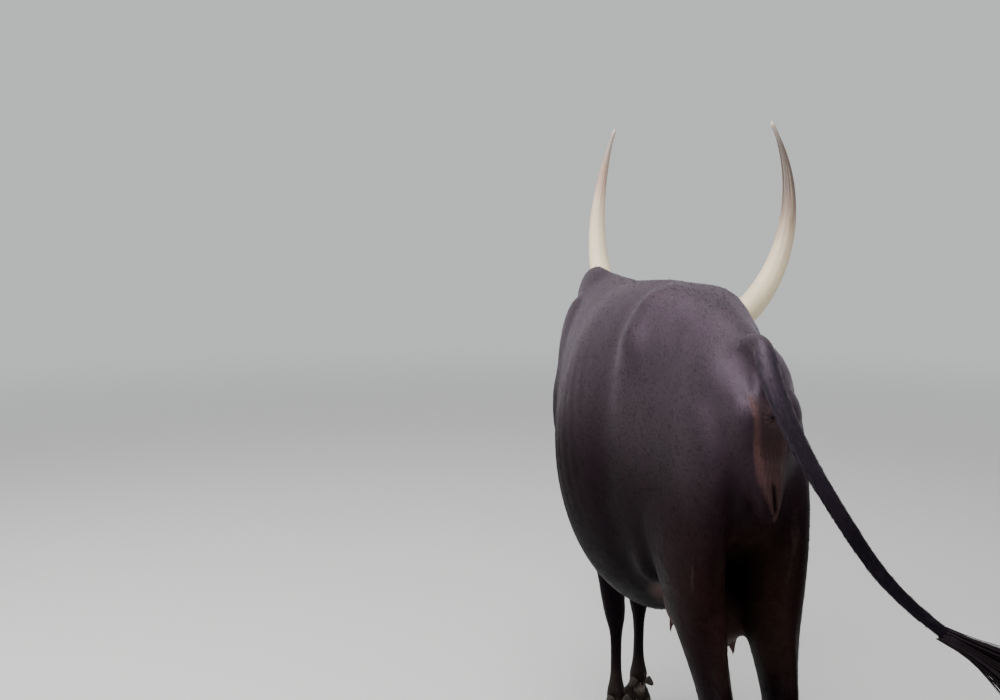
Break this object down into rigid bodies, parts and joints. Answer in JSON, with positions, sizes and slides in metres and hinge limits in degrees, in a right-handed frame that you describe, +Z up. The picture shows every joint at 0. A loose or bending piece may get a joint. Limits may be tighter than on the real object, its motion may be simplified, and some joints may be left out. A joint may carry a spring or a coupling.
{
  "type": "ankole watusi cow",
  "caption": "Life-size standing long-horned cow, head low and turned aside, tail swung to one side; a still display model.",
  "frame": {"origin": "middle of the whole model's footprint box, on the floor under the soles", "axes": "-Y the way the trunk faces, +X the animal's left, +Z up"},
  "size_m": [0.9602, 2.3854, 1.8343],
  "materials": {
    "hide": "short glossy coat, very dark brown",
    "horn": "smooth cream horn",
    "hoof": "dark hoof horn",
    "eye": "wet dark eye",
    "hair": "long black hair"
  },
  "bodies": {
    "root": {"claw_front_left_inner": "hoof", "claw_front_left_outer": "hoof", "claw_front_right_inner": "hoof", "claw_front_right_outer": "hoof", "claw_hind_left_inner": "hoof", "claw_hind_left_outer": "hoof", "claw_hind_right_inner": "hoof", "claw_hind_right_outer": "hoof", "dewclaw_front_left_inner": "hoof", "dewclaw_front_left_outer": "hoof", "dewclaw_front_right_inner": "hoof", "dewclaw_front_right_outer": "hoof", "dewclaw_hind_left_inner": "hoof", "dewclaw_hind_left_outer": "hoof", "dewclaw_hind_right_inner": "hoof", "dewclaw_hind_right_outer": "hoof", "ear_left": "hide", "ear_right": "hide", "eye_left": "eye", "eye_right": "eye", "head": "hide", "horn_left": "horn", "horn_right": "horn", "leg_front_left": "hide", "leg_front_right": "hide", "leg_hind_left": "hide", "leg_hind_right": "hide", "neck": "hide", "tail": "hide", "tail_switch": "hair", "torso": "hide", "udder": "hide"}
  },
  "joints": []
}
